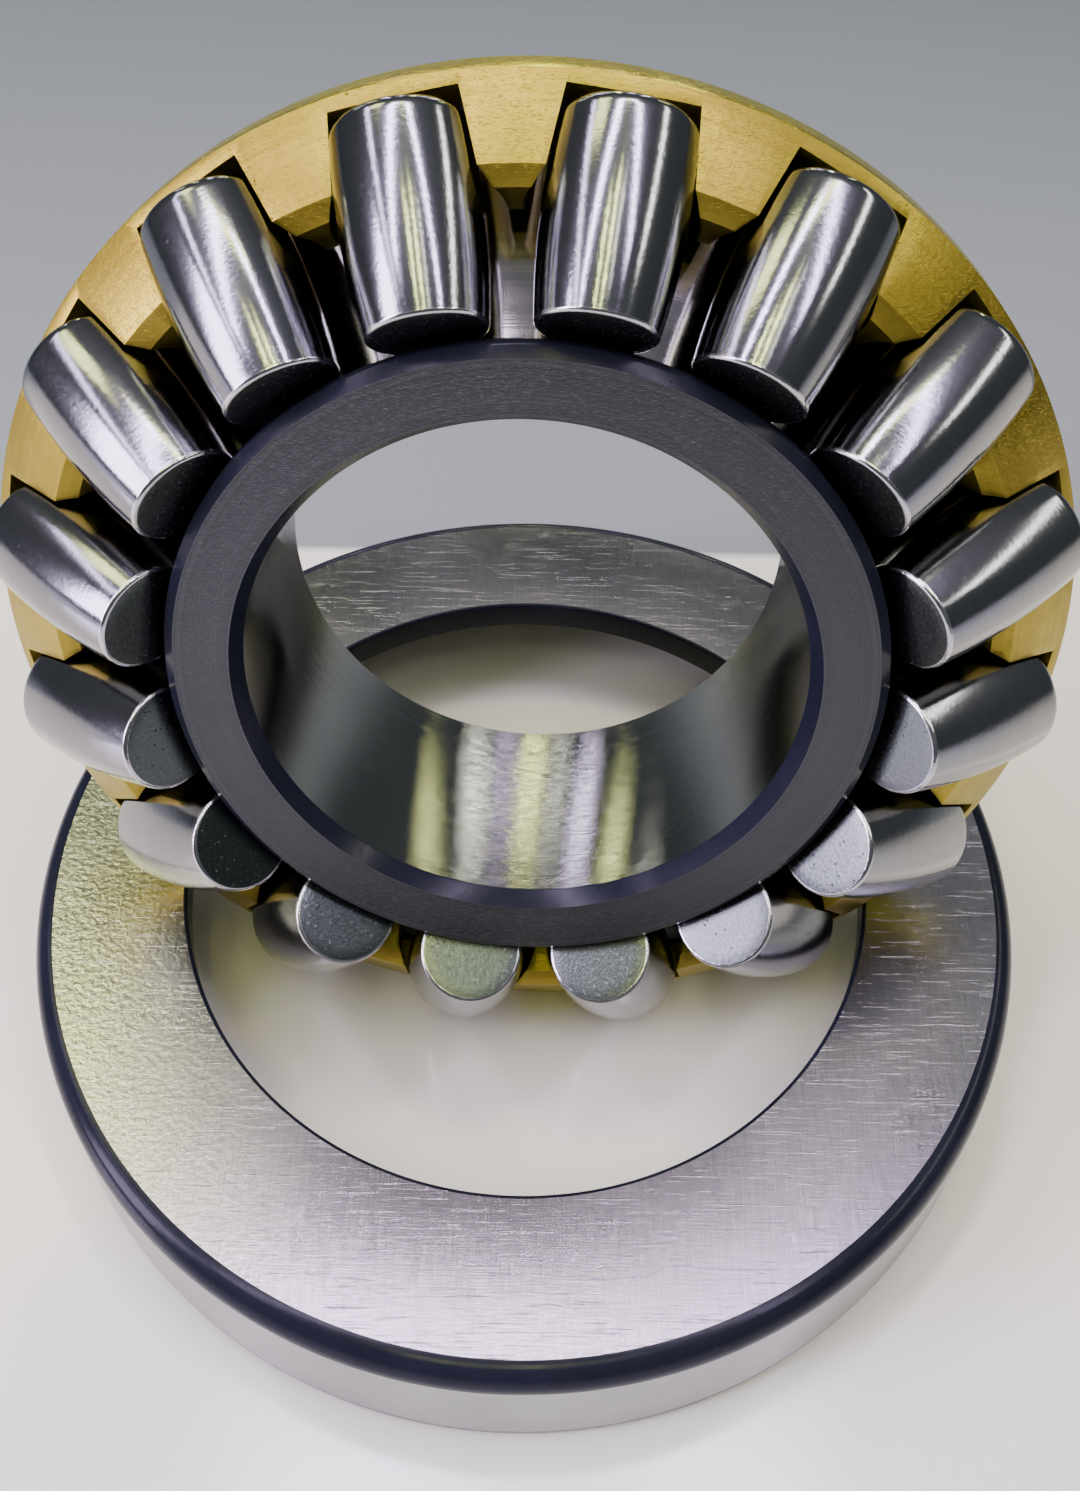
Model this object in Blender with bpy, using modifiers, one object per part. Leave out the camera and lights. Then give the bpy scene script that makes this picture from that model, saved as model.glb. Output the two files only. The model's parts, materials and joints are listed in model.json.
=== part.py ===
"""Spherical roller thrust bearing, 100 x 210 x 67 mm, standing open as on a counter.

The housing washer lies flat with its back face up. The shaft washer, its machined brass cage and
its sixteen rollers form one unit, which leans back in the washer's hole with its small end forward.

World frame: metres, +Z up, origin at the centre of the housing washer's underside.
Unit frame (the empty "unit_axis"): local Z is the bearing axis, pointing out of the small end, with
zero on the shaft washer's back face. Profiles below are lists of (radius, height) in millimetres.
"""

from math import atan2, copysign, cos, pi, radians, sin, sqrt

import bmesh
import bpy
from mathutils import Matrix, Vector

MM = 0.001
GAP = 0.3  # running clearance between pieces that touch

# Boundary dimensions, mm
BORE_R = 50.0
OUTER_R = 105.0
HOUSING_HEIGHT = 32.0
TOTAL_HEIGHT = 67.0
SPHERE_BELOW_BACK = 62.0  # centre of the spherical raceway, under the shaft washer's back face

# Rollers: asymmetric barrels whose axes lean towards the bearing axis
ROLLERS = 16
ROLLER_LENGTH = 36.0  # to the rim of the big end, which is domed
CROWN = 0.7  # height of that dome
ROLLER_R = 11.9  # at the thickest section
THICKEST_AT = 23.1  # from the small end
BARREL_ARC_R = 134.3
SMALL_END_R = 66.16  # radius and height of the small end's centre, in the unit frame
SMALL_END_H = 51.8
TILT = radians(40.0)  # roller axis to the plane across the bearing axis
SMALL_EDGE = 0.7  # roundings of the two end edges
BIG_EDGE = 2.6
FIRST_ROLLER = radians(8.4)  # from the top, clockwise seen from the small end
SETTLE = radians(0.2)  # how far each roller has rolled down towards the lower side of its pocket

# Housing washer
RACEWAY_R = 142.0
HOLE_R = 73.0
HOLE_CHAMFER = 0.8
CORNER_WIDE = 4.1
CORNER_HIGH = 4.8
FOOT_INNER_R = 100.4  # narrow ring that the washer stands on
FOOT_OUTER_R = 102.6
FOOT_ROLL = 0.4  # how far the rounded foot corner pulls in at a third of its height

# Shaft washer
FLANGE_R = 97.0
FLANGE_CHAMFER = 4.0
FLANGE_EDGE = 1.0
RIB_TOP = 23.6
RIB_PLAY = 0.6  # between the rim of a roller's big end and the rib
HUB_HEIGHT = 54.0
LIP_R = 63.8
LIP_BACK = 49.8
LIP_CHAMFER_WIDE = 1.9
LIP_CHAMFER_DEEP = 1.7
NECK_R = 59.2
NECK_RISE = 0.6  # short cylinder between the raceway's end and the neck
BORE_CHAMFER_WIDE = 2.0
BORE_CHAMFER_DEEP = 3.0
BACK_BORE_CHAMFER = 1.5

# Cage
CAGE_R = 100.7
CAGE_RIM_TOP = 28.4
SKIRT_BACK = 21.0  # thin outer skirt, outside the shaft washer's flange
SKIRT_INNER_R = 97.6
CAGE_BACK = 24.5
CREST = (88.1, 38.6)  # the front face slopes from here to the rim, nearly parallel to the rollers
HEEL = (84.3, 38.6)
TIP = (79.3, 33.6)
TIP_BACK = (78.6, 31.8)
CAGE_BELLY = (88.0, 25.0)
POCKET_R = 14.4  # round the pocket's own axis, beside the thickest section of the roller
POCKET_TAPER = 0.045  # loss of that radius for each unit of length towards the big end
POCKET_BEHIND = 4.55  # the pocket's axis lies this far behind the roller's
POCKET_END_PLAY = 2.6
POCKET_MOUTH = 8.0  # how far the cut starts before the small end

# Place of the unit at rest
LEAN_BACK = radians(15.88)
TURN = radians(-2.09)
UNIT_ORIGIN = Vector((1.52, 36.60, 94.46)) * MM

# Facets round one turn
WASHER_STEPS = 64
CAGE_STEPS = 96
ROLLER_STEPS = 20
POCKET_STEPS = 36

BRASS = ("machined_brass", (0.62, 0.47, 0.17), 0.38, 1.0)
GROUND = ("ground_steel", (0.52, 0.53, 0.53), 0.30, 1.0)
POLISHED = ("polished_steel", (0.60, 0.60, 0.61), 0.12, 1.0)
BLACKED = ("blackened_steel", (0.10, 0.10, 0.11), 0.35, 1.0)


def clear_scene():
    for obj in list(bpy.data.objects):
        bpy.data.objects.remove(obj, do_unlink=True)


def new_collection(name):
    collection = bpy.data.collections.new(name)
    bpy.context.scene.collection.children.link(collection)
    return collection


def principled(name, colour, roughness, metallic):
    material = bpy.data.materials.new(name)
    material.use_nodes = True
    shader = material.node_tree.nodes["Principled BSDF"]
    shader.inputs["Base Color"].default_value = (*colour, 1.0)
    shader.inputs["Roughness"].default_value = roughness
    shader.inputs["Metallic"].default_value = metallic
    return material


def arc(centre, radius, start, end, count):
    """Points (radius, height) on a circle from the angle start to the angle end, both included."""
    turns = [start + (end - start) * i / (count - 1) for i in range(count)]
    return [(centre[0] + radius * cos(a), centre[1] + radius * sin(a)) for a in turns]


def quarter(outer, wide, high, count=4):
    """Rounded outer top corner ending at the point outer: from the top face down to the side."""
    turns = [pi / 2 * (1 - i / (count - 1)) for i in range(count)]
    return [(outer - wide + wide * cos(a), high * (sin(a) - 1)) for a in turns]


def barrel_radius(s):
    """Radius of a roller at the distance s from its small end."""
    return ROLLER_R - BARREL_ARC_R + sqrt(BARREL_ARC_R**2 - (s - THICKEST_AT) ** 2)


def across_axis(s, n):
    """(radius, height) of the point s along a roller's axis and n outwards from that axis."""
    return (
        SMALL_END_R + s * cos(TILT) + n * sin(TILT),
        SMALL_END_H - s * sin(TILT) + n * cos(TILT),
    )


def turned(name, profile, steps, collection, material):
    """Solid of revolution about local Z of a closed outline of (radius, height), outer side first."""
    mesh = bpy.data.meshes.new(name)
    points = [(r * MM, 0.0, h * MM) for r, h in profile]
    edges = [(i, (i + 1) % len(points)) for i in range(len(points))]
    mesh.from_pydata(points, edges, [])
    obj = bpy.data.objects.new(name, mesh)
    collection.objects.link(obj)
    mesh.materials.append(material)
    screw = obj.modifiers.new("Turn", "SCREW")
    screw.steps = steps
    screw.render_steps = steps
    screw.use_merge_vertices = True
    screw.merge_threshold = 0.00001
    screw.use_smooth_shade = True
    return obj


def housing_washer_profile():
    sphere = TOTAL_HEIGHT - HOUSING_HEIGHT + SPHERE_BELOW_BACK  # centre, below the underside
    top_corner = [(r, HOUSING_HEIGHT + h) for r, h in quarter(OUTER_R, CORNER_WIDE, CORNER_HIGH)]
    foot_corner = [
        (OUTER_R, CORNER_HIGH),
        (OUTER_R - FOOT_ROLL, CORNER_HIGH / 3),
        (FOOT_OUTER_R, 0.0),
    ]
    start = atan2(sqrt(RACEWAY_R**2 - FOOT_INNER_R**2), FOOT_INNER_R)
    end = atan2(sqrt(RACEWAY_R**2 - HOLE_R**2), HOLE_R)
    raceway = arc((0.0, -sphere), RACEWAY_R, start, end, 7)
    hole = [(HOLE_R, HOUSING_HEIGHT - HOLE_CHAMFER), (HOLE_R + HOLE_CHAMFER, HOUSING_HEIGHT)]
    return top_corner + foot_corner + [(FOOT_INNER_R, 0.0)] + raceway + hole


def shaft_washer_profile():
    """Starts on the hub's front face and runs down the outer side: lip, neck, raceway, rib, flange."""
    front = [
        (LIP_R - LIP_CHAMFER_WIDE, HUB_HEIGHT),
        (LIP_R, HUB_HEIGHT - LIP_CHAMFER_DEEP),
        (LIP_R, LIP_BACK),
    ]
    centre = across_axis(THICKEST_AT, BARREL_ARC_R - ROLLER_R)
    reach = BARREL_ARC_R + GAP
    first = across_axis(GAP, -barrel_radius(GAP) - GAP)
    last = across_axis(ROLLER_LENGTH + RIB_PLAY, -barrel_radius(ROLLER_LENGTH) - GAP)
    start = atan2(first[1] - centre[1], first[0] - centre[0])
    end = atan2(last[1] - centre[1], last[0] - centre[0])
    raceway = arc(centre, reach, start, end, 6)
    neck = [(NECK_R, LIP_BACK - GAP), (NECK_R, raceway[0][1] + NECK_RISE)]
    along = (RIB_TOP - raceway[-1][1]) / cos(TILT)
    rib = [(raceway[-1][0] + along * sin(TILT), RIB_TOP)]
    flange = [
        (FLANGE_R - FLANGE_EDGE, RIB_TOP),
        (FLANGE_R, RIB_TOP - FLANGE_EDGE),
        (FLANGE_R, FLANGE_CHAMFER),
        (FLANGE_R - FLANGE_CHAMFER, 0.0),
    ]
    bore = [
        (BORE_R + BACK_BORE_CHAMFER, 0.0),
        (BORE_R, BACK_BORE_CHAMFER),
        (BORE_R, HUB_HEIGHT - BORE_CHAMFER_DEEP),
        (BORE_R + BORE_CHAMFER_WIDE, HUB_HEIGHT),
    ]
    return front + neck + raceway + rib + flange + bore


def cage_profile():
    skirt = [(CAGE_R, CAGE_RIM_TOP), (CAGE_R, SKIRT_BACK), (SKIRT_INNER_R, SKIRT_BACK)]
    back = [(SKIRT_INNER_R, CAGE_BACK), (CAGE_BELLY[0], CAGE_BACK), CAGE_BELLY]
    return skirt + back + [TIP_BACK, TIP, HEEL, CREST]


def roller_profile():
    """From the big end's centre down to the small end's, along the roller's own axis."""
    shoulder = barrel_radius(ROLLER_LENGTH - BIG_EDGE)
    foot = barrel_radius(SMALL_EDGE)
    rim = shoulder - BIG_EDGE
    dome = [(rim * k / 2, ROLLER_LENGTH + CROWN * (1 - (k / 2) ** 2)) for k in range(3)]
    half_edge = BIG_EDGE * (1 - cos(pi / 4))
    edge = [(shoulder - half_edge, ROLLER_LENGTH - half_edge)]
    places = [SMALL_EDGE + (ROLLER_LENGTH - BIG_EDGE - SMALL_EDGE) * i / 4 for i in range(5)]
    barrel = [(barrel_radius(s), s) for s in reversed(places)]
    return dome + edge + barrel + [(foot - SMALL_EDGE, 0.0), (0.0, 0.0)]


def along_roller(angle):
    """Roller's frame in the unit frame: Y faces the front, Z runs from the small to the big end."""
    outwards = Vector((sin(angle), cos(angle), 0.0))
    ahead = Vector((0.0, 0.0, 1.0))
    axis = outwards * cos(TILT) - ahead * sin(TILT)
    front = outwards * sin(TILT) + ahead * cos(TILT)
    turn = Matrix((front.cross(axis), front, axis)).transposed().to_4x4()
    return Matrix.Translation((outwards * SMALL_END_R + ahead * SMALL_END_H) * MM) @ turn


def pocket_angle(index):
    return FIRST_ROLLER + 2 * pi * index / ROLLERS


def roller_angle(index):
    angle = pocket_angle(index)
    return angle + copysign(SETTLE, sin(angle))


def pocket_cutter(collection):
    """All pockets in one mesh: each a slightly tapered bore parallel to its roller's axis."""
    joined = bmesh.new()
    end = ROLLER_LENGTH + POCKET_END_PLAY
    length = end + POCKET_MOUTH
    middle = (end - POCKET_MOUTH) / 2
    for index in range(ROLLERS):
        bm = bmesh.new()
        bmesh.ops.create_cone(
            bm,
            cap_ends=True,
            segments=POCKET_STEPS,
            radius1=(POCKET_R + POCKET_TAPER * (THICKEST_AT + POCKET_MOUTH)) * MM,
            radius2=(POCKET_R + POCKET_TAPER * (THICKEST_AT - end)) * MM,
            depth=length * MM,
            matrix=Matrix.Translation((0.0, -POCKET_BEHIND * MM, middle * MM)),
        )
        bmesh.ops.transform(bm, matrix=along_roller(pocket_angle(index)), verts=bm.verts)
        part = bpy.data.meshes.new("pocket")
        bm.to_mesh(part)
        bm.free()
        joined.from_mesh(part)
        bpy.data.meshes.remove(part)
    mesh = bpy.data.meshes.new("pocket_cutter")
    joined.to_mesh(mesh)
    joined.free()
    cutter = bpy.data.objects.new("pocket_cutter", mesh)
    cutter.hide_render = True
    cutter.display_type = "WIRE"
    collection.objects.link(cutter)
    return cutter


def main():
    clear_scene()
    bearing = new_collection("spherical_roller_thrust_bearing")
    cutters = new_collection("cutters")
    ground = principled(*GROUND)
    polished = principled(*POLISHED)

    turned("housing_washer", housing_washer_profile(), WASHER_STEPS, bearing, ground)

    unit = bpy.data.objects.new("unit_axis", None)
    bearing.objects.link(unit)
    unit.location = UNIT_ORIGIN
    unit.rotation_euler = (pi / 2 - LEAN_BACK, 0.0, TURN)

    shaft = turned(
        "shaft_washer", shaft_washer_profile(), WASHER_STEPS, bearing, principled(*BLACKED)
    )
    shaft.parent = unit

    cage = turned("cage", cage_profile(), CAGE_STEPS, bearing, principled(*BRASS))
    cage.parent = unit
    cutter = pocket_cutter(cutters)
    cutter.parent = unit
    cut = cage.modifiers.new("Pockets", "BOOLEAN")
    cut.operation = "DIFFERENCE"
    cut.solver = "EXACT"
    cut.object = cutter

    for index in range(ROLLERS):
        name = f"roller_{index + 1:02d}"
        roller = turned(name, roller_profile(), ROLLER_STEPS, bearing, polished)
        roller.parent = unit
        roller.matrix_local = along_roller(roller_angle(index))


main()
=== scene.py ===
"""Looks of an open spherical roller thrust bearing: fine meshes and procedural materials.

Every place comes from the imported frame: the bearing axis from the joint cage_spin, each roller from
its own joint. Outlines are lists of (radius, height, region) in millimetres, where the region names
the finish of the surface that runs on to the next point.
"""

import json
from math import atan2, copysign, cos, pi, radians, sin, sqrt

import bmesh
import bpy
from mathutils import Matrix, Vector


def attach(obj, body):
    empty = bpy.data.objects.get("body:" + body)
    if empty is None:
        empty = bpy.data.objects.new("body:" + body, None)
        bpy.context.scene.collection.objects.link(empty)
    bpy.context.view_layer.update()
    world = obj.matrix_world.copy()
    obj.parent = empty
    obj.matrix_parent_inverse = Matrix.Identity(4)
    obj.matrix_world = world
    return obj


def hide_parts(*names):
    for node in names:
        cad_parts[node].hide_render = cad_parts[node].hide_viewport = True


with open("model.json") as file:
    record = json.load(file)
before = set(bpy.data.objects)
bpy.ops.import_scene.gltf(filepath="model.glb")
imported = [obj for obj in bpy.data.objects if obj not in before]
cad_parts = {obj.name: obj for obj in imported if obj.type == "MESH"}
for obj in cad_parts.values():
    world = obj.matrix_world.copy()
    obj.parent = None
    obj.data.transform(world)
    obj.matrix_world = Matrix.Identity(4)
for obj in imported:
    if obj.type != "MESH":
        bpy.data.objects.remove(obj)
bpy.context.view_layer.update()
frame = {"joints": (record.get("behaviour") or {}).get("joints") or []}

MM = 0.001
MICRON = 0.000001
JOINTS = {joint["name"]: joint for joint in frame["joints"]}

# Housing washer, mm
OUTER_R = 105.0
HOUSING_HEIGHT = 32.0
HOLE_R = 73.0
HOLE_CHAMFER = 0.8
RACEWAY_R = 142.0
SPHERE_BELOW = 97.0
FOOT_INNER_R = 100.4
FOOT_OUTER_R = 102.6
CORNER_WIDE = 4.1
CORNER_HIGH = 4.8
FOOT_CORNER = ((0.25, 0.55), (0.8, 0.25))  # (mm inside the outer radius, share of CORNER_HIGH)

# Shaft washer, mm
BORE_R = 50.0
BORE_CHAMFER_WIDE = 2.0
BORE_CHAMFER_DEEP = 3.0
HUB_HEIGHT = 54.0
LIP_R = 63.8
LIP_BACK = 49.8
LIP_CHAMFER_WIDE = 1.9
LIP_CHAMFER_DEEP = 1.7
NECK_R = 59.2
RIB_TOP = 23.6
RIB_PLAY = 0.6
NECK_RISE = 0.6
FLANGE_R = 97.0
FLANGE_CHAMFER = 4.0
FLANGE_EDGE = 1.0
BACK_BORE_CHAMFER = 1.5
GAP = 0.3
LIP_ROUND = 0.9
EDGE_ROUND = 0.35

# Rollers, mm
ROLLERS = 16
ROLLER_LENGTH = 36.0
CROWN = 0.7
ROLLER_R = 11.9
THICKEST_AT = 23.1
BARREL_ARC_R = 134.3
SMALL_END_R = 66.16
SMALL_END_H = 51.8
TILT = radians(40.0)
SMALL_EDGE = 0.7
BIG_EDGE = 2.6
SETTLE = radians(0.2)
MARKS_TURN = 2.4  # radians from one roller's marks to the next one's

# Cage, mm
CAGE_R = 100.7
CAGE_RIM_TOP = 28.4
SKIRT_BACK = 21.0
SKIRT_INNER_R = 97.6
CAGE_BACK = 24.5
CREST = (88.1, 38.6)
HEEL = (84.3, 38.6)
TIP = (79.3, 33.6)
TIP_BACK = (78.6, 31.8)
CAGE_BELLY = (88.0, 25.0)
POCKET_R = 14.4
POCKET_TAPER = 0.045
POCKET_BEHIND = 4.55
POCKET_END_PLAY = 2.6
POCKET_MOUTH = 8.0
BEVEL_WIDTH = 0.22
BEVEL_SEGMENTS = 2
BEVEL_ANGLE = radians(24.0)

# Stage and lights, metres
COUNTER_END = 0.1225
COUNTER_EDGE = 0.0015
FLOOR_HALF = 3.0
FLOOR_DARKEST = 0.5
FRONT_TINT = (-0.06, -0.16)
MIDDLE = (0.0, 0.02, 0.09)
CEILING = 1.7
LAMP_DISTANCE = 1.6
BRIGHTNESS = 2.4
SURROUNDINGS = 1.1
LAVENDER = (0.84, 0.70, 1.0)
CREAM = (1.0, 0.97, 0.86)
GREEN = (0.98, 1.0, 0.40)
STREAK_SIZE = (0.018, 0.35)
STREAK_ELEVATION = 20
STREAKS = (  # (azimuth in degrees, radiance) of the narrow lamps that the bore reflects
    (-36, 9), (-25, 16), (-15, 26), (-7, 10), (0, 28), (7, 12), (15, 24), (28, 14)
)
BELOW = (0.10, 0.11, 0.12, 1.0)
HALFWAY_UP = (0.14, 0.15, 0.16, 1.0)
OVERHEAD = (0.30, 0.30, 0.36, 1.0)
HALFWAY = 0.70

# Camera
SENSOR = 36.0
LENS = 36.31
SHIFT_Y = -0.1439
NEAREST = 0.01
CAMERA_PLACE = (0.0020, -0.1816, 0.3154)
CAMERA_PITCH = radians(90.0 - 45.22)
CAMERA_ROLL = radians(0.88)

# Fineness
RING_STEPS = 256
CAGE_STEPS = 320
POCKET_STEPS = 96
ROLLER_STEPS = 96
CORNER_STEPS = 12
RACEWAY_POINTS = 25
FILLET_STEPS = 4
HOLE_EDGE_STEPS = 4
DOME_STEPS = 6
SHOULDER_STEPS = 8
BARREL_STEPS = 32
SMALL_EDGE_STEPS = 6
SMALL_FACE_STEPS = 4
SHARP = radians(30.0)
CAGE_SHARP = radians(32.0)
NEARLY_STRAIGHT = 0.02  # radians
MOST_OF_A_SIDE = 0.45
ON_AXIS = 0.000001  # mm

# Sockets of the Mix node that mixes colours, and the turn that lays highlights across the lines
MIX_FACTOR = 0
MIX_A = 6
MIX_B = 7
MIX_RESULT = 2
ACROSS_THE_LINES = 0.25


# Shapes


def add_object(name, data):
    obj = bpy.data.objects.new(name, data)
    bpy.context.scene.collection.objects.link(obj)
    return obj


def fillet(a, b, c, radius):
    """Points that round the corner b of the path a, b, c with an arc of this radius."""
    a, b, c = Vector(a), Vector(b), Vector(c)
    back, on = (a - b).normalized(), (c - b).normalized()
    half = back.angle(on) / 2
    if half > pi / 2 - NEARLY_STRAIGHT:
        return [b]
    shorter = min((a - b).length, (c - b).length)
    reach = min(radius / abs(sin(half)) * cos(half), MOST_OF_A_SIDE * shorter)
    size = reach * sin(half) / cos(half)
    centre = b + (back + on).normalized() * (size / sin(half))
    start, end = b + back * reach - centre, b + on * reach - centre
    turn = start.angle_signed(end)
    turns = [-turn * i / FILLET_STEPS for i in range(FILLET_STEPS + 1)]
    return [centre + Matrix.Rotation(angle, 2) @ start for angle in turns]


def rounded(outline, radius):
    """The open outline with its corners rounded; an arc takes the region that follows its corner."""
    made = [outline[0]]
    for before, (r, h, region), after in zip(outline, outline[1:], outline[2:]):
        for p in fillet(before[:2], (r, h), after[:2], radius):
            made.append((p.x, p.y, region))
    return [*made, outline[-1]]


def arc(centre, radius, start, end, count, region):
    turns = [start + (end - start) * i / (count - 1) for i in range(count)]
    return [(centre[0] + radius * cos(a), centre[1] + radius * sin(a), region) for a in turns]


def turned_mesh(name, outline, steps, materials, closed=True):
    """Surface of revolution about local Z. Its faces take the materials of their outline regions."""
    slots = list(dict.fromkeys(region for _, _, region in outline))
    rings, verts = [], []
    for r, h, _ in outline:
        if r < ON_AXIS:
            rings.append([len(verts)] * steps)
            verts.append((0.0, 0.0, h * MM))
            continue
        rings.append(list(range(len(verts), len(verts) + steps)))
        for j in range(steps):
            angle = 2 * pi * j / steps
            verts.append((r * MM * cos(angle), r * MM * sin(angle), h * MM))
    faces, regions = [], []
    for i in range(len(outline) if closed else len(outline) - 1):
        upper, lower = rings[i], rings[(i + 1) % len(outline)]
        for j in range(steps):
            k = (j + 1) % steps
            loop = list(dict.fromkeys((upper[j], lower[j], lower[k], upper[k])))
            faces.append(loop)
            regions.append(slots.index(outline[i][2]))
    mesh = bpy.data.meshes.new(name)
    mesh.from_pydata(verts, [], faces)
    for slot in slots:
        mesh.materials.append(materials[slot])
    mesh.polygons.foreach_set("material_index", regions)
    mesh.shade_smooth()
    mesh.set_sharp_from_angle(angle=SHARP)
    mesh.update()
    return mesh


def place(name, mesh, matrix, body, node):
    obj = add_object(name, mesh)
    obj.matrix_world = matrix
    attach(obj, body)
    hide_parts(node)


def barrel_radius(s):
    return ROLLER_R - BARREL_ARC_R + sqrt(BARREL_ARC_R**2 - (s - THICKEST_AT) ** 2)


def across_axis(s, n):
    """(radius, height) of the point s along a roller's axis and n outwards from that axis."""
    return (
        SMALL_END_R + s * cos(TILT) + n * sin(TILT),
        SMALL_END_H - s * sin(TILT) + n * cos(TILT),
    )


def unit_matrix():
    """Frame of the leaning unit: Z along the bearing axis, X level, zero on the back face."""
    z = Vector(JOINTS["cage_spin"]["axis"]).normalized()
    x = Vector((0.0, 0.0, 1.0)).cross(z).normalized()
    turn = Matrix((x, z.cross(x), z)).transposed().to_4x4()
    return Matrix.Translation(Vector(JOINTS["cage_spin"]["pos_m"])) @ turn


def roller_matrix(name, unit):
    """Frame of one roller: Z from its small end to its big end, zero on the small end."""
    joint = JOINTS[name + "_spin"]
    z = Vector(joint["axis"]).normalized()
    across = unit.to_3x3() @ Vector((0.0, 0.0, 1.0))
    side = z.cross(across).normalized()
    turn = Matrix((side, z.cross(side), z)).transposed().to_4x4()
    return Matrix.Translation(Vector(joint["pos_m"])) @ turn


def housing_washer_outline():
    top = HOUSING_HEIGHT
    corner = []
    for i in range(CORNER_STEPS + 1):
        a = pi / 2 * (1 - i / CORNER_STEPS)
        r = OUTER_R - CORNER_WIDE + CORNER_WIDE * cos(a)
        corner.append((r, top + CORNER_HIGH * (sin(a) - 1), "corner"))
    corner[-1] = (*corner[-1][:2], "side")
    foot = [(OUTER_R, CORNER_HIGH, "corner")]
    foot += [(OUTER_R - inside, CORNER_HIGH * share, "corner") for inside, share in FOOT_CORNER]
    foot += [(FOOT_OUTER_R, 0.0, "foot"), (FOOT_INNER_R, 0.0, "foot")]
    start = atan2(sqrt(RACEWAY_R**2 - FOOT_INNER_R**2), FOOT_INNER_R)
    end = atan2(sqrt(RACEWAY_R**2 - HOLE_R**2), HOLE_R)
    raceway = arc((0.0, -SPHERE_BELOW), RACEWAY_R, start, end, RACEWAY_POINTS, "raceway")
    raceway[-1] = (*raceway[-1][:2], "hole")
    edge = [(HOLE_R, top - HOLE_CHAMFER, "hole")]
    for i in range(1, HOLE_EDGE_STEPS + 1):
        a = pi / 2 * i / HOLE_EDGE_STEPS
        r = HOLE_R + HOLE_CHAMFER * (1 - cos(a))
        region = "hole" if i < HOLE_EDGE_STEPS else "face"
        edge.append((r, top - HOLE_CHAMFER * (1 - sin(a)), region))
    return corner + foot + raceway + edge


def shaft_washer_outline():
    centre = across_axis(THICKEST_AT, BARREL_ARC_R - ROLLER_R)
    first = across_axis(GAP, -barrel_radius(GAP) - GAP)
    last = across_axis(ROLLER_LENGTH + RIB_PLAY, -barrel_radius(ROLLER_LENGTH) - GAP)
    start = atan2(first[1] - centre[1], first[0] - centre[0])
    end = atan2(last[1] - centre[1], last[0] - centre[0])
    raceway = arc(centre, BARREL_ARC_R + GAP, start, end, RACEWAY_POINTS, "raceway")
    raceway[-1] = (*raceway[-1][:2], "rib")
    along = (RIB_TOP - raceway[-1][1]) / cos(TILT)
    lip = [
        (LIP_R - LIP_CHAMFER_WIDE, HUB_HEIGHT, "edge"),
        (LIP_R, HUB_HEIGHT - LIP_CHAMFER_DEEP, "lip"),
        (LIP_R, LIP_BACK, "neck"),
        (NECK_R, LIP_BACK - GAP, "neck"),
        (NECK_R, raceway[0][1] + NECK_RISE, "neck"),
    ]
    rib = [(raceway[-1][0] + along * sin(TILT), RIB_TOP, "rib_face")]
    flange = [
        (FLANGE_R - FLANGE_EDGE, RIB_TOP, "edge"),
        (FLANGE_R, RIB_TOP - FLANGE_EDGE, "side"),
        (FLANGE_R, FLANGE_CHAMFER, "edge"),
        (FLANGE_R - FLANGE_CHAMFER, 0.0, "back"),
    ]
    bore = [
        (BORE_R + BACK_BORE_CHAMFER, 0.0, "edge"),
        (BORE_R, BACK_BORE_CHAMFER, "bore"),
        (BORE_R, HUB_HEIGHT - BORE_CHAMFER_DEEP, "edge"),
        (BORE_R + BORE_CHAMFER_WIDE, HUB_HEIGHT, "hub_face"),
    ]
    return rounded(lip, LIP_ROUND) + raceway + rounded(rib + flange + bore, EDGE_ROUND)


def roller_outline():
    """From the big end's centre down to the small end's centre."""
    shoulder = barrel_radius(ROLLER_LENGTH - BIG_EDGE)
    foot = barrel_radius(SMALL_EDGE)
    flat = shoulder - BIG_EDGE
    shares = [k / DOME_STEPS for k in range(DOME_STEPS)]
    big = [(flat * k, ROLLER_LENGTH + CROWN * (1 - k**2), "big_face") for k in shares]
    for i in range(SHOULDER_STEPS + 1):
        a = pi / 2 * (1 - i / SHOULDER_STEPS)
        big.append(
            (flat + BIG_EDGE * cos(a), ROLLER_LENGTH - BIG_EDGE * (1 - sin(a)), "barrel")
        )
    span = ROLLER_LENGTH - BIG_EDGE - SMALL_EDGE
    barrel = []
    for i in range(1, BARREL_STEPS + 1):
        s = ROLLER_LENGTH - BIG_EDGE - span * i / BARREL_STEPS
        barrel.append((barrel_radius(s), s, "barrel"))
    barrel[-1] = (*barrel[-1][:2], "edge")
    small = []
    for i in range(1, SMALL_EDGE_STEPS + 1):
        a = pi / 2 * i / SMALL_EDGE_STEPS
        region = "edge" if i < SMALL_EDGE_STEPS else "small_face"
        small.append((foot - SMALL_EDGE * (1 - cos(a)), SMALL_EDGE * (1 - sin(a)), region))
    inner = foot - SMALL_EDGE
    steps = reversed(range(SMALL_FACE_STEPS))
    small += [(inner * k / SMALL_FACE_STEPS, 0.0, "small_face") for k in steps]
    return big + barrel + small


def cage_blank(materials):
    outline = [
        (CAGE_R, CAGE_RIM_TOP, "rim"),
        (CAGE_R, SKIRT_BACK, "brass"),
        (SKIRT_INNER_R, SKIRT_BACK, "brass"),
        (SKIRT_INNER_R, CAGE_BACK, "brass"),
        (CAGE_BELLY[0], CAGE_BACK, "brass"),
        (*CAGE_BELLY, "brass"),
        (*TIP_BACK, "brass"),
        (*TIP, "heel"),
        (*HEEL, "heel"),
        (*CREST, "front"),
    ]
    return add_object("cage_blank", turned_mesh("cage_blank", outline, CAGE_STEPS, materials))


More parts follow.
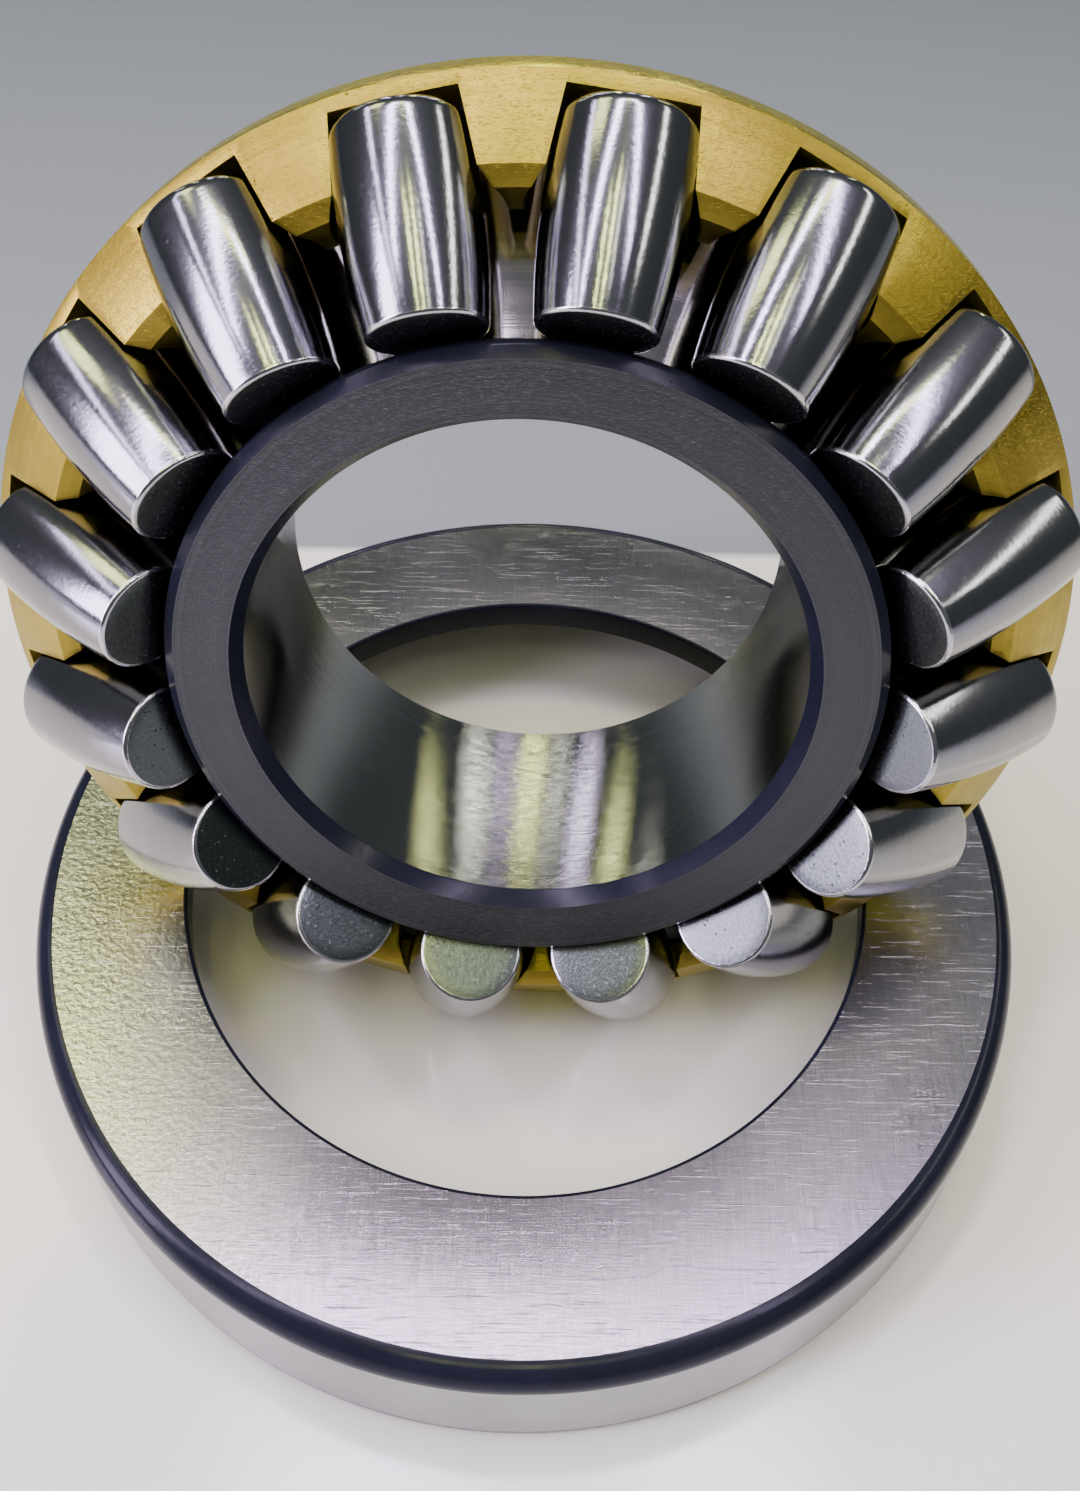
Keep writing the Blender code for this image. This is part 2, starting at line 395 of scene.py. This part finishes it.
def pocket_cutter(local_matrices, material):
    """Every pocket in one mesh: a slightly tapered bore whose axis lies behind the roller's."""
    joined = bmesh.new()
    end = ROLLER_LENGTH + POCKET_END_PLAY
    middle = (end - POCKET_MOUTH) / 2
    for matrix in local_matrices:
        bm = bmesh.new()
        bmesh.ops.create_cone(
            bm,
            cap_ends=True,
            segments=POCKET_STEPS,
            radius1=(POCKET_R + POCKET_TAPER * (THICKEST_AT + POCKET_MOUTH)) * MM,
            radius2=(POCKET_R + POCKET_TAPER * (THICKEST_AT - end)) * MM,
            depth=(end + POCKET_MOUTH) * MM,
            matrix=Matrix.Translation((0.0, POCKET_BEHIND * MM, middle * MM)),
        )
        unroll = Matrix.Rotation(copysign(SETTLE, matrix.translation.x), 4, "Z")
        bmesh.ops.transform(bm, matrix=unroll @ matrix, verts=bm.verts)
        part = bpy.data.meshes.new("pocket")
        bm.to_mesh(part)
        bm.free()
        joined.from_mesh(part)
        bpy.data.meshes.remove(part)
    mesh = bpy.data.meshes.new("pocket_cutter")
    joined.to_mesh(mesh)
    joined.free()
    mesh.materials.append(material)
    return add_object("pocket_cutter", mesh)


def cage_mesh(materials, local_matrices):
    """The blank with its pockets cut and its edges broken."""
    blank = cage_blank(materials)
    cutter = pocket_cutter(local_matrices, materials["pocket"])
    cut = blank.modifiers.new("Pockets", "BOOLEAN")
    cut.operation = "DIFFERENCE"
    cut.solver = "EXACT"
    cut.material_mode = "TRANSFER"
    cut.object = cutter
    edges = blank.modifiers.new("Edges", "BEVEL")
    edges.limit_method = "ANGLE"
    edges.angle_limit = BEVEL_ANGLE
    edges.width = BEVEL_WIDTH * MM
    edges.segments = BEVEL_SEGMENTS
    edges.use_clamp_overlap = True
    edges.harden_normals = False
    graph = bpy.context.evaluated_depsgraph_get()
    mesh = bpy.data.meshes.new_from_object(blank.evaluated_get(graph))
    mesh.name = "cage"
    mesh.shade_smooth()
    mesh.set_sharp_from_angle(angle=CAGE_SHARP)
    for helper in (blank, cutter):
        bpy.data.objects.remove(helper, do_unlink=True)
    return mesh


# Materials


class Finish:
    """A Principled material under construction, with helpers for its node graph.

    It starts with a plain colour and roughness, which paint and gloss then replace with varied ones.
    """

    def __init__(self, name, colour, roughness, metallic=1.0, **sockets):
        self.material = bpy.data.materials.new(name)
        self.material.use_nodes = True
        self.tree = self.material.node_tree
        self.shader = self.tree.nodes["Principled BSDF"]
        self.shader.inputs["Base Color"].default_value = (*colour, 1.0)
        self.shader.inputs["Roughness"].default_value = roughness
        self.shader.inputs["Metallic"].default_value = metallic
        for socket, value in sockets.items():
            self.shader.inputs[socket.replace("_", " ")].default_value = value
        self.coords = self.node("ShaderNodeTexCoord").outputs["Object"]
        self.height = None

    def node(self, kind, **settings):
        made = self.tree.nodes.new(kind)
        for key, value in settings.items():
            setattr(made, key, value)
        return made

    def link(self, source, target):
        self.tree.links.new(source, target)

    def stretched(self, scale, turn=(0.0, 0.0, 0.0)):
        """Object coordinates scaled, for marks that run along one direction."""
        mapping = self.node("ShaderNodeMapping")
        self.link(self.coords, mapping.inputs["Vector"])
        mapping.inputs["Rotation"].default_value = turn
        mapping.inputs["Scale"].default_value = scale
        return mapping.outputs["Vector"]

    def ring_coords(self, across, along):
        """Coordinates whose marks circle local Z: (radius * across, height * along)."""
        split = self.node("ShaderNodeSeparateXYZ")
        self.link(self.coords, split.inputs[0])
        flat = self.node("ShaderNodeCombineXYZ")
        self.link(split.outputs["X"], flat.inputs["X"])
        self.link(split.outputs["Y"], flat.inputs["Y"])
        length = self.node("ShaderNodeVectorMath", operation="LENGTH")
        self.link(flat.outputs[0], length.inputs[0])
        joined = self.node("ShaderNodeCombineXYZ")
        self.link(self.maths("MULTIPLY", length.outputs["Value"], across), joined.inputs["X"])
        self.link(self.maths("MULTIPLY", split.outputs["Z"], along), joined.inputs["Y"])
        return joined.outputs[0]

    def maths(self, operation, first, second, clamp=False):
        """Each operand is a number or a node's output."""
        made = self.node("ShaderNodeMath", operation=operation, use_clamp=clamp)
        for socket, value in zip(made.inputs, (first, second)):
            if isinstance(value, (int, float)):
                socket.default_value = value
            else:
                self.link(value, socket)
        return made.outputs[0]

    def noise(self, vector, scale, detail=2.0, roughness=0.5):
        made = self.node("ShaderNodeTexNoise")
        self.link(vector, made.inputs["Vector"])
        made.inputs["Scale"].default_value = scale
        made.inputs["Detail"].default_value = detail
        made.inputs["Roughness"].default_value = roughness
        return made.outputs["Fac"]

    def specks(self, vector, scale):
        """Distance to the nearest of many scattered points."""
        made = self.node("ShaderNodeTexVoronoi")
        self.link(vector, made.inputs["Vector"])
        made.inputs["Scale"].default_value = scale
        return made.outputs["Distance"]

    def span(self, value, low, high, to_low=0.0, to_high=1.0):
        """The value mapped from low..high to to_low..to_high, kept between those two."""
        made = self.node("ShaderNodeMapRange")
        self.link(value, made.inputs["Value"])
        made.inputs["From Min"].default_value = low
        made.inputs["From Max"].default_value = high
        made.inputs["To Min"].default_value = to_low
        made.inputs["To Max"].default_value = to_high
        return made.outputs["Result"]

    def paint(self, factor, dark, light):
        """Base colour from dark to light as factor goes from 0 to 1."""
        made = self.node("ShaderNodeMix", data_type="RGBA")
        self.link(factor, made.inputs[MIX_FACTOR])
        made.inputs[MIX_A].default_value = (*dark, 1.0)
        made.inputs[MIX_B].default_value = (*light, 1.0)
        self.link(made.outputs[MIX_RESULT], self.shader.inputs["Base Color"])

    def tint(self, factor, colour):
        """Multiplies the base colour by this one where factor is 1."""
        base = self.shader.inputs["Base Color"]
        made = self.node("ShaderNodeMix", data_type="RGBA", blend_type="MULTIPLY")
        self.link(factor, made.inputs[MIX_FACTOR])
        self.link(base.links[0].from_socket, made.inputs[MIX_A])
        made.inputs[MIX_B].default_value = (*colour, 1.0)
        self.link(made.outputs[MIX_RESULT], base)

    def gloss(self, factor, smooth, rough):
        self.link(
            self.span(factor, low=0.0, high=1.0, to_low=smooth, to_high=rough),
            self.shader.inputs["Roughness"],
        )

    def relief(self, height, depth):
        """Adds a bump of this depth in metres; bumps stack."""
        bump = self.node("ShaderNodeBump")
        bump.inputs["Strength"].default_value = 1.0
        bump.inputs["Distance"].default_value = depth
        self.link(height, bump.inputs["Height"])
        if self.height:
            self.link(self.height, bump.inputs["Normal"])
        self.height = bump.outputs["Normal"]
        self.link(self.height, self.shader.inputs["Normal"])

    def lathe_tangent(self):
        """Highlights spread across the turning lines, which circle local Z."""
        tangent = self.node("ShaderNodeTangent", direction_type="RADIAL", axis="Z")
        self.link(tangent.outputs[0], self.shader.inputs["Tangent"])
        self.shader.inputs["Anisotropic Rotation"].default_value = ACROSS_THE_LINES


def ground_face_painted_light():
    """Flat ground steel with crossed hairlines and orange peel on the left; its colour holds painted
    light: a painted yellow-green highlight on the left, a painted lavender reflection in front, painted
    shade at +X and at the back.
    """
    finish = Finish("ground_face_painted_light", colour=(0.50, 0.49, 0.50), roughness=0.3, Anisotropic=0.25)
    one = finish.noise(
        finish.stretched(scale=(1, 22, 1), turn=(0, 0, radians(28))),
        scale=160,
        detail=4,
        roughness=0.75,
    )
    two = finish.noise(
        finish.stretched(scale=(22, 1, 1), turn=(0, 0, radians(12))),
        scale=130,
        detail=4,
        roughness=0.75,
    )
    broad = finish.noise(finish.coords, scale=22, detail=3)
    peel = finish.noise(finish.coords, scale=850, detail=3, roughness=0.55)
    split = finish.node("ShaderNodeSeparateXYZ")
    finish.link(finish.coords, split.inputs[0])
    # Masks for the painted light on the top; the left one also places the orange peel.
    left = finish.span(split.outputs["X"], low=-0.035, high=-0.085)
    far_painted_shade = finish.span(split.outputs["Y"], low=0.03, high=0.085)
    right_painted_shade = finish.span(split.outputs["X"], low=0.05, high=0.10)
    hatch = finish.maths("MULTIPLY", one, two)
    finish.paint(
        finish.span(hatch, low=0.14, high=0.34), dark=(0.29, 0.285, 0.30), light=(0.43, 0.42, 0.44)
    )
    # Painted light: a lavender reflection in front, a yellow-green highlight on the left, shade at +X
    # and at the back.
    front = finish.span(split.outputs["Y"], low=-0.045, high=-0.085)
    finish.tint(front, colour=(1.06, 0.94, 1.24))
    finish.tint(left, colour=(1.30, 1.40, 0.88))
    finish.tint(right_painted_shade, colour=(0.74, 0.75, 0.76))
    finish.tint(far_painted_shade, colour=(0.52, 0.53, 0.54))
    finish.gloss(broad, smooth=0.17, rough=0.36)
    finish.relief(hatch, depth=40 * MICRON)
    hairs = finish.noise(
        finish.stretched(scale=(1.5, 50, 1.5), turn=(0, 0, radians(-38))),
        scale=45,
        detail=3,
        roughness=0.7,
    )
    finish.relief(finish.span(hairs, low=0.60, high=0.70), depth=30 * MICRON)
    finish.relief(finish.maths("MULTIPLY", peel, left), depth=180 * MICRON)
    finish.lathe_tangent()
    return finish.material


def ground_side():
    """Ground cylinder: fine lines around it and faint vertical blotches."""
    finish = Finish("ground_side", colour=(0.46, 0.46, 0.45), roughness=0.36, Anisotropic=0.5)
    lines = finish.noise(
        finish.ring_coords(across=40, along=1500), scale=1.0, detail=4, roughness=0.7
    )
    blotch = finish.noise(finish.coords, scale=55, detail=4)
    finish.paint(blotch, dark=(0.26, 0.26, 0.26), light=(0.40, 0.40, 0.39))
    finish.gloss(lines, smooth=0.26, rough=0.46)
    finish.relief(lines, depth=20 * MICRON)
    finish.lathe_tangent()
    return finish.material


def black_edge():
    """Heat-treated corner left as it is: blue-black, smooth and glossy, with a few bright grains."""
    finish = Finish(
        "black_edge",
        colour=(0.010, 0.011, 0.017),
        roughness=0.2,
        metallic=0.0,
        Specular_IOR_Level=0.12,
    )
    scale = finish.noise(finish.coords, scale=700, detail=3, roughness=0.6)
    broad = finish.noise(finish.coords, scale=60, detail=3)
    grains = finish.span(
        finish.specks(finish.coords, scale=420), low=0.0, high=0.10, to_low=1.0, to_high=0.0
    )
    finish.paint(broad, dark=(0.005, 0.006, 0.012), light=(0.016, 0.018, 0.030))
    finish.gloss(scale, smooth=0.12, rough=0.28)
    finish.relief(scale, depth=20 * MICRON)
    finish.relief(grains, depth=80 * MICRON)
    return finish.material


def hub_face():
    """Blackened turned face: concentric lines and a few pale diagonal scratches."""
    finish = Finish(
        "hub_face", colour=(0.08, 0.079, 0.083), roughness=0.40, metallic=0.8, Anisotropic=0.3
    )
    lines = finish.noise(
        finish.ring_coords(across=2600, along=300), scale=1.0, detail=3, roughness=0.75
    )
    cross = finish.noise(
        finish.stretched(scale=(2, 30, 2), turn=(0, 0, radians(-32))),
        scale=420,
        detail=3,
        roughness=0.75,
    )
    broad = finish.noise(finish.coords, scale=34, detail=3)
    scratch = finish.span(cross, low=0.56, high=0.72)
    fine = finish.maths("MULTIPLY", lines, 0.6)
    mixed = finish.maths("ADD", fine, finish.maths("MULTIPLY", scratch, 0.6))
    finish.paint(mixed, dark=(0.022, 0.025, 0.025), light=(0.15, 0.155, 0.153))
    finish.gloss(broad, smooth=0.30, rough=0.46)
    finish.relief(lines, depth=40 * MICRON)
    finish.relief(scratch, depth=30 * MICRON)
    finish.lathe_tangent()
    return finish.material


def bore_steel():
    """Ground bore: fine rings that spread highlights along the axis."""
    finish = Finish("bore_steel", colour=(0.34, 0.345, 0.33), roughness=0.22, Anisotropic=0.75)
    lines = finish.noise(
        finish.ring_coords(across=40, along=2200), scale=1.0, detail=4, roughness=0.75
    )
    grain = finish.noise(finish.coords, scale=1500, detail=2)
    broad = finish.noise(finish.coords, scale=30, detail=3)
    finish.paint(broad, dark=(0.19, 0.195, 0.185), light=(0.32, 0.325, 0.31))
    finish.gloss(lines, smooth=0.06, rough=0.13)
    finish.relief(lines, depth=30 * MICRON)
    finish.relief(grain, depth=5 * MICRON)
    finish.lathe_tangent()
    return finish.material


def raceway_steel():
    finish = Finish("raceway_steel", colour=(0.55, 0.54, 0.52), roughness=0.16, Anisotropic=0.4)
    lines = finish.noise(
        finish.ring_coords(across=1200, along=1200), scale=1.0, detail=3, roughness=0.7
    )
    finish.paint(lines, dark=(0.20, 0.195, 0.185), light=(0.30, 0.29, 0.28))
    finish.gloss(lines, smooth=0.07, rough=0.16)
    finish.relief(lines, depth=10 * MICRON)
    finish.lathe_tangent()
    return finish.material


def roller_barrel():
    """Superfinished barrel: softly mirrored, with hair-fine rings and sparse tiny marks."""
    finish = Finish("roller_barrel", colour=(0.50, 0.50, 0.52), roughness=0.12, Anisotropic=0.4)
    lines = finish.noise(
        finish.ring_coords(across=60, along=1600), scale=1.0, detail=4, roughness=0.7
    )
    grain = finish.noise(finish.coords, scale=1300, detail=3, roughness=0.6)
    marks = finish.span(
        finish.specks(finish.coords, scale=210), low=0.0, high=0.10, to_low=1.0, to_high=0.0
    )
    worn = finish.maths("ADD", finish.maths("MULTIPLY", grain, 0.8), marks, True)
    finish.paint(lines, dark=(0.185, 0.19, 0.20), light=(0.285, 0.29, 0.305))
    finish.gloss(worn, smooth=0.10, rough=0.22)
    finish.relief(lines, depth=8 * MICRON)
    finish.relief(grain, depth=20 * MICRON)
    finish.lathe_tangent()
    return finish.material


def roller_edge():
    """Tumbled end rounding: bright and slightly uneven."""
    finish = Finish("roller_edge", colour=(0.72, 0.72, 0.71), roughness=0.16)
    grain = finish.noise(finish.coords, scale=800, detail=3, roughness=0.6)
    finish.paint(grain, dark=(0.38, 0.38, 0.38), light=(0.62, 0.62, 0.61))
    finish.gloss(grain, smooth=0.10, rough=0.24)
    finish.relief(grain, depth=60 * MICRON)
    return finish.material


def roller_face():
    """Ground end face: satin, with fine pits that catch the light."""
    finish = Finish("roller_face", colour=(0.14, 0.15, 0.15), roughness=0.26)
    grain = finish.noise(finish.coords, scale=1400, detail=3, roughness=0.65)
    pits = finish.span(
        finish.specks(finish.coords, scale=620), low=0.0, high=0.14, to_low=1.0, to_high=0.0
    )
    finish.paint(grain, dark=(0.034, 0.046, 0.041), light=(0.135, 0.152, 0.145))
    finish.gloss(grain, smooth=0.18, rough=0.32)
    finish.relief(grain, depth=30 * MICRON)
    finish.relief(pits, depth=90 * MICRON)
    return finish.material


def brass(name, dark, light, smooth, rough, marks):
    """Machined brass: turning rings, cloudy tarnish, fine scratches and grains."""
    finish = Finish(name, colour=light, roughness=smooth, Anisotropic=0.3)
    rings = finish.noise(
        finish.ring_coords(across=900, along=900), scale=1.0, detail=3, roughness=0.7
    )
    cloud = finish.noise(finish.coords, scale=60, detail=4, roughness=0.6)
    scratch = finish.noise(
        finish.stretched(scale=(3, 22, 3), turn=(0.4, 0.7, 0.9)), scale=330, detail=3, roughness=0.7
    )
    grain = finish.noise(finish.coords, scale=1100, detail=3, roughness=0.6)
    clouded = finish.maths("MULTIPLY", cloud, 0.6)
    shade = finish.maths("ADD", clouded, finish.maths("MULTIPLY", rings, 0.4))
    finish.paint(finish.span(shade, low=0.3, high=0.7), dark=dark, light=light)
    finish.gloss(
        finish.maths("MULTIPLY", finish.maths("ADD", grain, scratch), 0.5),
        smooth=smooth,
        rough=rough,
    )
    finish.relief(rings, depth=20 * MICRON * marks)
    finish.relief(grain, depth=30 * MICRON * marks)
    finish.relief(finish.span(scratch, low=0.58, high=0.72), depth=20 * MICRON * marks)
    pits = finish.span(
        finish.specks(finish.coords, scale=260), low=0.0, high=0.08, to_low=1.0, to_high=0.0
    )
    finish.relief(pits, depth=-80 * MICRON * marks)
    finish.lathe_tangent()
    return finish.material


def steel_back():
    """Ground back face of the shaft washer: lathe-like rings with crossed hairlines."""
    finish = Finish("steel_back", colour=(0.56, 0.57, 0.56), roughness=0.32, Anisotropic=0.5)
    rings = finish.noise(
        finish.ring_coords(across=1500, along=200), scale=1.0, detail=3, roughness=0.7
    )
    cross = finish.noise(
        finish.stretched(scale=(2, 24, 2), turn=(0, 0, radians(40))),
        scale=600,
        detail=3,
        roughness=0.7,
    )
    finish.paint(rings, dark=(0.46, 0.47, 0.46), light=(0.66, 0.66, 0.65))
    finish.gloss(cross, smooth=0.22, rough=0.44)
    finish.relief(rings, depth=20 * MICRON)
    finish.relief(cross, depth=20 * MICRON)
    finish.lathe_tangent()
    return finish.material


# Pieces


def build_housing_washer(finishes):
    materials = {
        "corner": finishes["black_edge"],
        "side": finishes["ground_side"],
        "foot": finishes["ground_face_painted_light"],
        "raceway": finishes["raceway"],
        "hole": finishes["black_edge"],
        "face": finishes["ground_face_painted_light"],
    }
    mesh = turned_mesh("housing_washer_fine", housing_washer_outline(), RING_STEPS, materials)
    place("housing_washer_fine", mesh, Matrix(), "housing_washer", "housing_washer")


def build_shaft_washer(finishes, unit):
    materials = {
        "edge": finishes["black_edge"],
        "lip": finishes["black_edge"],
        "neck": finishes["black_edge"],
        "raceway": finishes["raceway"],
        "rib": finishes["raceway"],
        "rib_face": finishes["hub_face"],
        "side": finishes["ground_side"],
        "back": finishes["steel_back"],
        "bore": finishes["bore"],
        "hub_face": finishes["hub_face"],
    }
    mesh = turned_mesh("shaft_washer_fine", shaft_washer_outline(), RING_STEPS, materials)
    place("shaft_washer_fine", mesh, unit, "shaft_washer", "shaft_washer")


def build_cage(finishes, unit, rollers):
    materials = {
        "rim": finishes["brass"],
        "brass": finishes["brass"],
        "front": finishes["brass"],
        # The heel bevel and the pockets take darker brass: painted shade.
        "heel": finishes["brass_heel_painted_shade"],
        "pocket": finishes["brass_pocket_painted_shade"],
    }
    local = [unit.inverted() @ matrix for matrix in rollers.values()]
    mesh = cage_mesh(materials, local)
    place("cage_fine", mesh, unit, "cage", "cage")


def build_rollers(finishes, rollers):
    materials = {
        "big_face": finishes["roller_face"],
        "barrel": finishes["roller_barrel"],
        "edge": finishes["roller_edge"],
        "small_face": finishes["roller_face"],
    }
    mesh = turned_mesh("roller_fine", roller_outline(), ROLLER_STEPS, materials, closed=False)
    for index, (name, matrix) in enumerate(rollers.items()):
        turned = matrix @ Matrix.Rotation(MARKS_TURN * index, 4, "Z")
        place(name + "_fine", mesh, turned, name, name)


# Stage


def floor_material():
    """Pale glossy counter top that ends just behind the bearing, and a grey floor beyond it."""
    finish = Finish(
        "counter", colour=(0.80, 0.79, 0.72), roughness=0.16, metallic=0.0, Specular_IOR_Level=0.5
    )
    split = finish.node("ShaderNodeSeparateXYZ")
    finish.link(finish.coords, split.inputs[0])
    away = finish.span(
        split.outputs["Y"], low=COUNTER_END - COUNTER_EDGE, high=COUNTER_END + COUNTER_EDGE
    )
    finish.paint(away, dark=(0.87, 0.87, 0.75), light=(0.235, 0.265, 0.272))
    finish.tint(
        finish.span(split.outputs["Y"], low=COUNTER_END, high=FLOOR_DARKEST),
        colour=(0.50, 0.53, 0.56),
    )
    finish.tint(finish.span(split.outputs["Y"], *FRONT_TINT), colour=(0.98, 0.99, 1.24))
    finish.gloss(away, smooth=0.13, rough=0.85)
    return finish.material


def build_stage():
    """A level sheet: the counter top and, beyond its edge, the darker floor."""
    signs = ((-1, -1), (1, -1), (1, 1), (-1, 1))
    corners = [(x * FLOOR_HALF, y * FLOOR_HALF, 0.0) for x, y in signs]
    mesh = bpy.data.meshes.new("counter")
    mesh.from_pydata(corners, [], [(0, 1, 2, 3)])
    mesh.materials.append(floor_material())
    add_object("counter", mesh)


def area_light(name, size, radiance, colour):
    """A flat lamp of this radiance, hidden from the camera."""
    data = bpy.data.lights.new(name, "AREA")
    data.shape = "RECTANGLE"
    data.size, data.size_y = size
    data.energy = BRIGHTNESS * radiance * pi * size[0] * size[1]
    data.color = colour
    obj = add_object(name, data)
    obj.visible_camera = False
    return obj


def lamp(name, azimuth, elevation, size, radiance, colour):
    """A lamp that the bearing sees at this compass angle (from +Y, clockwise) and height, in degrees."""
    obj = area_light(name, size, radiance, colour)
    around, up = radians(azimuth), radians(elevation)
    towards = Vector((cos(up) * sin(around), cos(up) * cos(around), sin(up)))
    obj.location = Vector(MIDDLE) + towards * LAMP_DISTANCE
    obj.rotation_euler = towards.to_track_quat("Z", "Y").to_euler()


def ceiling_strip(name, start, end, width, radiance, colour):
    """A lamp on the ceiling between two points (x, y)."""
    start, end = Vector(start), Vector(end)
    run = end - start
    obj = area_light(name, (run.length, width), radiance, colour)
    middle = (start + end) / 2
    obj.location = (middle.x, middle.y, CEILING)
    obj.rotation_euler = (0.0, 0.0, atan2(run.y, run.x))


def build_lights():
    ceiling_strip(
        "leg_left",
        start=(-0.10, 0.34),
        end=(-1.15, -0.75),
        width=0.13,
        radiance=14.0,
        colour=LAVENDER,
    )
    ceiling_strip(
        "leg_right",
        start=(0.16, 0.34),
        end=(1.05, -0.80),
        width=0.10,
        radiance=14.0,
        colour=LAVENDER,
    )
    ceiling_strip(
        "row_left", start=(-0.22, -0.35), end=(-0.30, -1.0), width=0.05, radiance=14.0, colour=GREEN
    )
    ceiling_strip(
        "row_middle", start=(0.04, -0.28), end=(0.03, -1.0), width=0.05, radiance=14.0, colour=GREEN
    )
    ceiling_strip(
        "row_right", start=(0.24, -0.32), end=(0.32, -0.9), width=0.04, radiance=7.0, colour=CREAM
    )
    ceiling_strip(
        "crown", start=(-0.35, 0.30), end=(0.35, 0.30), width=0.16, radiance=6.0, colour=GREEN
    )
    lamp("far_left", azimuth=-90, elevation=48, size=(1.4, 0.12), radiance=5.0, colour=LAVENDER)
    lamp("far_right", azimuth=84, elevation=40, size=(1.3, 0.12), radiance=5.0, colour=CREAM)
    lamp("yellow", azimuth=-62, elevation=57, size=(0.4, 0.4), radiance=3.5, colour=GREEN)
    lamp("left_low", azimuth=-111, elevation=22, size=(0.45, 1.0), radiance=9.0, colour=LAVENDER)
    for index, (azimuth, radiance) in enumerate(STREAKS):
        colour = (CREAM, GREEN, LAVENDER)[index % 3]
        lamp(
            f"streak_{index + 1}",
            azimuth=azimuth,
            elevation=STREAK_ELEVATION,
            size=STREAK_SIZE,
            radiance=radiance,
            colour=colour,
        )


def build_surroundings():
    """A dim grey sky, brightest overhead."""
    world = bpy.data.worlds.new("studio")
    bpy.context.scene.world = world
    world.use_nodes = True
    tree = world.node_tree
    background = tree.nodes["Background"]
    background.inputs["Strength"].default_value = SURROUNDINGS
    coords = tree.nodes.new("ShaderNodeTexCoord")
    split = tree.nodes.new("ShaderNodeSeparateXYZ")
    ramp = tree.nodes.new("ShaderNodeValToRGB")
    tree.links.new(coords.outputs["Generated"], split.inputs[0])
    tree.links.new(split.outputs["Z"], ramp.inputs["Fac"])
    tree.links.new(ramp.outputs["Color"], background.inputs["Color"])
    stops = ramp.color_ramp.elements
    stops[0].color = BELOW
    stops[1].color = OVERHEAD
    stops.new(HALFWAY).color = HALFWAY_UP


def build_camera():
    """A hand-held view from in front, about 45 degrees down, cropped from a taller frame."""
    data = bpy.data.cameras.new("camera")
    data.sensor_width = SENSOR
    data.lens = LENS
    data.shift_y = SHIFT_Y
    data.clip_start = NEAREST
    obj = add_object("camera", data)
    pitch = Matrix.Rotation(CAMERA_PITCH, 4, "X")
    roll = Matrix.Rotation(CAMERA_ROLL, 4, "Z")
    obj.matrix_world = Matrix.Translation(CAMERA_PLACE) @ pitch @ roll
    bpy.context.scene.camera = obj


def main():
    finishes = {
        "ground_face_painted_light": ground_face_painted_light(),
        "ground_side": ground_side(),
        "black_edge": black_edge(),
        "hub_face": hub_face(),
        "bore": bore_steel(),
        "raceway": raceway_steel(),
        "steel_back": steel_back(),
        "roller_barrel": roller_barrel(),
        "roller_edge": roller_edge(),
        "roller_face": roller_face(),
        "brass": brass(
            "brass",
            dark=(0.62, 0.50, 0.008),
            light=(0.95, 0.82, 0.02),
            smooth=0.16,
            rough=0.34,
            marks=1.6,
        ),
        # Darker copies of the brass: painted shade on the heel bevel and in the pockets.
        "brass_heel_painted_shade": brass(
            "brass_heel_painted_shade",
            dark=(0.32, 0.26, 0.02),
            light=(0.50, 0.41, 0.05),
            smooth=0.30,
            rough=0.5,
            marks=1.5,
        ),
        "brass_pocket_painted_shade": brass(
            "brass_pocket_painted_shade",
            dark=(0.26, 0.20, 0.02),
            light=(0.46, 0.36, 0.05),
            smooth=0.3,
            rough=0.5,
            marks=2.0,
        ),
    }
    unit = unit_matrix()
    names = [f"roller_{index + 1:02d}" for index in range(ROLLERS)]
    rollers = {name: roller_matrix(name, unit) for name in names}
    build_housing_washer(finishes)
    build_shaft_washer(finishes, unit)
    build_cage(finishes, unit, rollers)
    build_rollers(finishes, rollers)
    build_stage()
    build_lights()
    build_surroundings()
    build_camera()


main()
